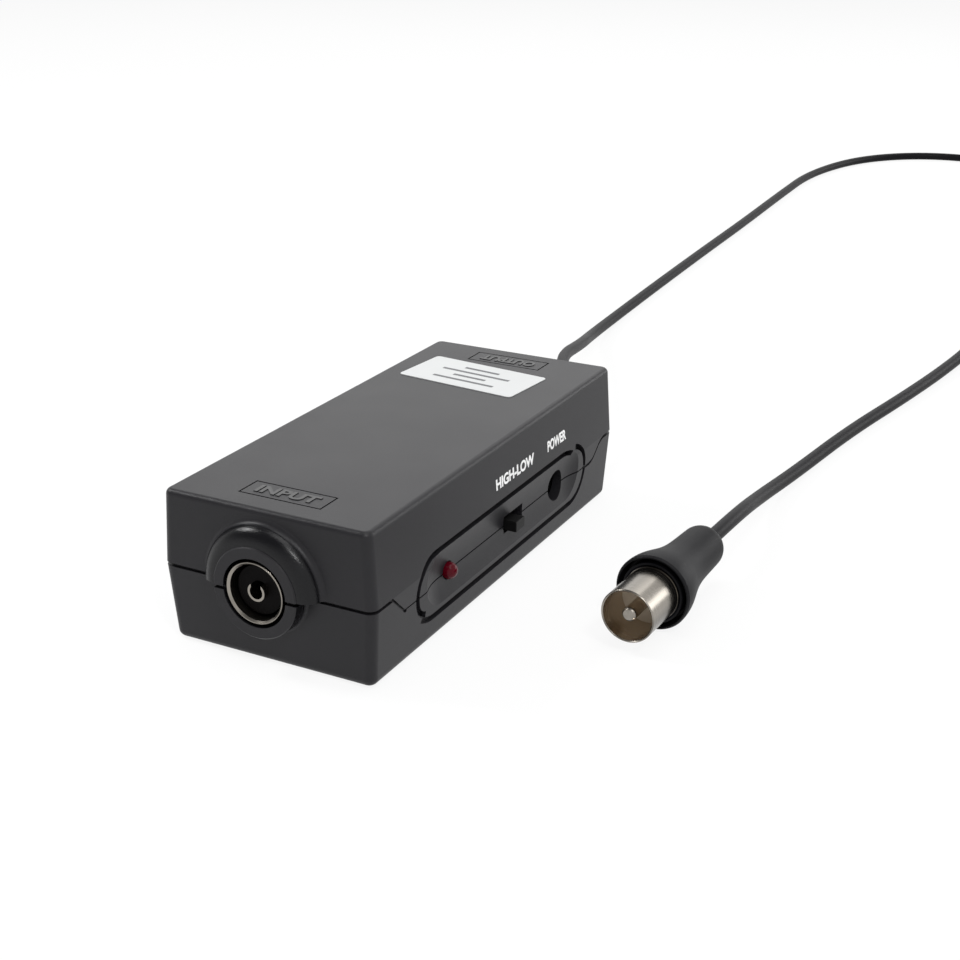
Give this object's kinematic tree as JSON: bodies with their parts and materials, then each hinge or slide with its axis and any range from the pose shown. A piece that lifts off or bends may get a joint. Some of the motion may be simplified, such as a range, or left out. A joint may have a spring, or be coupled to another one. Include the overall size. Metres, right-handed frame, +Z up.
{
  "type": "aerial amplifier",
  "caption": "Small flat in-line aerial amplifier box with a coaxial socket in a round collar, a light, a slide switch and a power jack on one side, and a lead with a coaxial plug.",
  "frame": {"origin": "centre of the underside of the box, on the surface that it rests on", "axes": "+Z up, -Y out of the aerial socket, +Y out of the lead's end, +X out of the side with the light, switch and jack"},
  "size_m": [0.15, 0.4902, 0.0271],
  "materials": {
    "case": "satin",
    "grip": "satin",
    "lead": "satin",
    "nickel": "polished",
    "steel": "satin",
    "zinc": "zinc plated",
    "tinned": "tinned",
    "insulator": "moulded",
    "plug_insulator": "moulded",
    "red_light": "clear red",
    "knob": "satin",
    "jack": "moulded",
    "phenolic": "laminate",
    "board": "solder mask",
    "chip": "moulded",
    "ceramic": "fired",
    "resistor": "glazed",
    "can": "drawn",
    "ferrite": "pressed",
    "copper": "bright",
    "foam": "foamed",
    "label": "paper",
    "tie": "satin"
  },
  "bodies": {
    "amplifier": {"top_shell": "case", "bottom_shell": "case", "housing_screws": "zinc", "board_screws": "zinc", "circuit_board": "board", "socket_sleeve": "nickel", "socket_insulator": "insulator", "socket_contact": "nickel", "socket_bracket": "tinned", "light_lens": "red_light", "light_leads": "tinned", "switch_frame": "steel", "switch_base": "phenolic", "switch_pins": "tinned", "jack_body": "jack", "jack_pin": "nickel", "jack_spring": "tinned", "jack_terminals": "tinned", "amplifier_chip": "chip", "chip_pins": "tinned", "filter_capacitor": "can", "ceramic_capacitors": "ceramic", "resistors": "resistor", "supply_choke": "ferrite", "voltage_regulator": "chip", "rating_label": "label", "lead_bushing": "grip", "lead_tail": "lead", "lead_braid": "copper", "lead_core": "foam", "lead_from_box": "lead", "lead_coil": "lead", "coil_tie": "tie", "lead_to_plug": "lead", "plug_boot": "grip", "plug_sleeve": "nickel", "plug_insulator": "plug_insulator", "plug_pin": "nickel"},
    "slider": {"switch_slider": "knob", "switch_bridge": "copper"}
  },
  "joints": [
    {"name": "level_switch", "type": "slide", "parent": "amplifier", "child": "slider", "axis": [0, 1, 0], "range_m": [0, 0.0035]}
  ]
}
